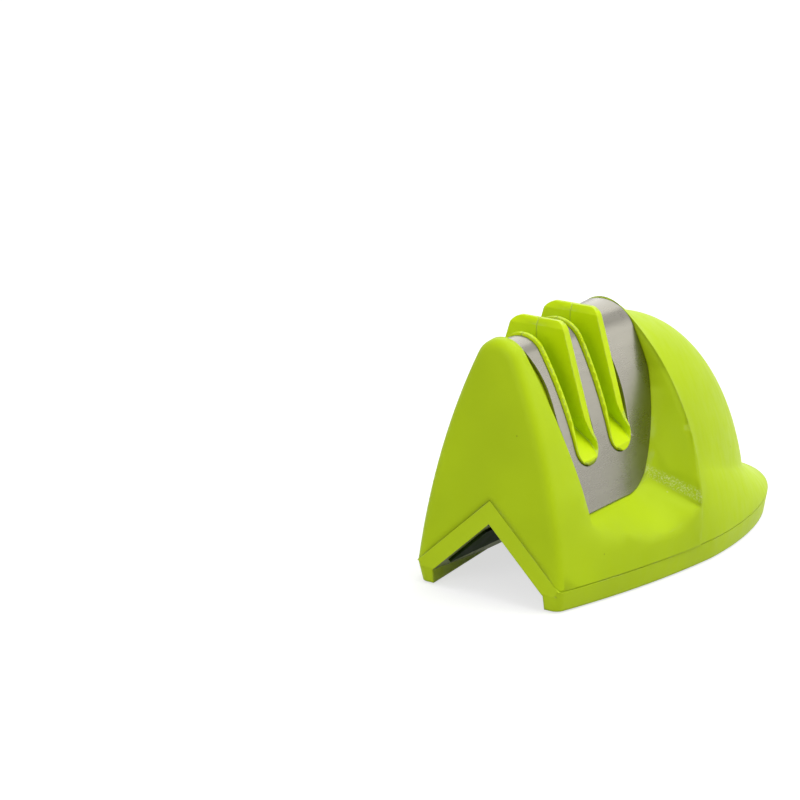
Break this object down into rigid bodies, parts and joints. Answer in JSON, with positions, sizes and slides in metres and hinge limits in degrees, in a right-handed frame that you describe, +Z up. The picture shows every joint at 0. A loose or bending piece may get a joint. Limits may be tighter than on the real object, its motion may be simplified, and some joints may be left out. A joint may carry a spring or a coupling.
{
  "type": "pull-through knife sharpener",
  "caption": "Hand-held pull-through knife sharpener with coarse and fine slots under a bent steel plate, a domed plastic body and a V notch in its base.",
  "frame": {"origin": "under the middle of the body's box, on the plane of the feet's undersides", "axes": "+X towards the rounded tail, +Y across the body, in the direction a knife is pulled, +Z up"},
  "size_m": [0.1038, 0.0542, 0.0582],
  "materials": {
    "housing_plastic": "satin",
    "base_plastic": "satin",
    "cartridge_plastic": "satin",
    "plate_steel": "brushed",
    "screw_steel": "satin",
    "axle_steel": "ground",
    "pad_rubber": "matte",
    "foot_rubber": "matte",
    "washer_plastic": "smooth",
    "hub_plastic": "satin",
    "coarse_abrasive": "gritty",
    "fine_ceramic": "smooth"
  },
  "bodies": {
    "body": {"upper_housing": "housing_plastic", "base_cover": "base_plastic", "face_plate": "plate_steel", "cartridge_left": "cartridge_plastic", "cartridge_right": "cartridge_plastic", "cartridge_screws": "screw_steel", "base_screws": "screw_steel", "notch_pad_left": "pad_rubber", "notch_pad_right": "pad_rubber", "foot_left": "foot_rubber", "foot_right": "foot_rubber", "foot_tail": "foot_rubber", "wheel_axle": "axle_steel", "thrust_washers": "washer_plastic"},
    "coarse_wheels": {"coarse_hub": "hub_plastic", "coarse_wheel_front": "coarse_abrasive", "coarse_wheel_rear": "coarse_abrasive"},
    "fine_wheels": {"fine_hub": "hub_plastic", "fine_wheel_front": "fine_ceramic", "fine_wheel_rear": "fine_ceramic"}
  },
  "joints": [
    {"name": "coarse_wheel_spin", "type": "hinge", "parent": "body", "child": "coarse_wheels", "pos_m": [-0.0362, 0, 0.02899], "axis": [1, 0, 0], "continuous": true},
    {"name": "fine_wheel_spin", "type": "hinge", "parent": "body", "child": "fine_wheels", "pos_m": [-0.023, 0, 0.02899], "axis": [1, 0, 0], "continuous": true}
  ]
}
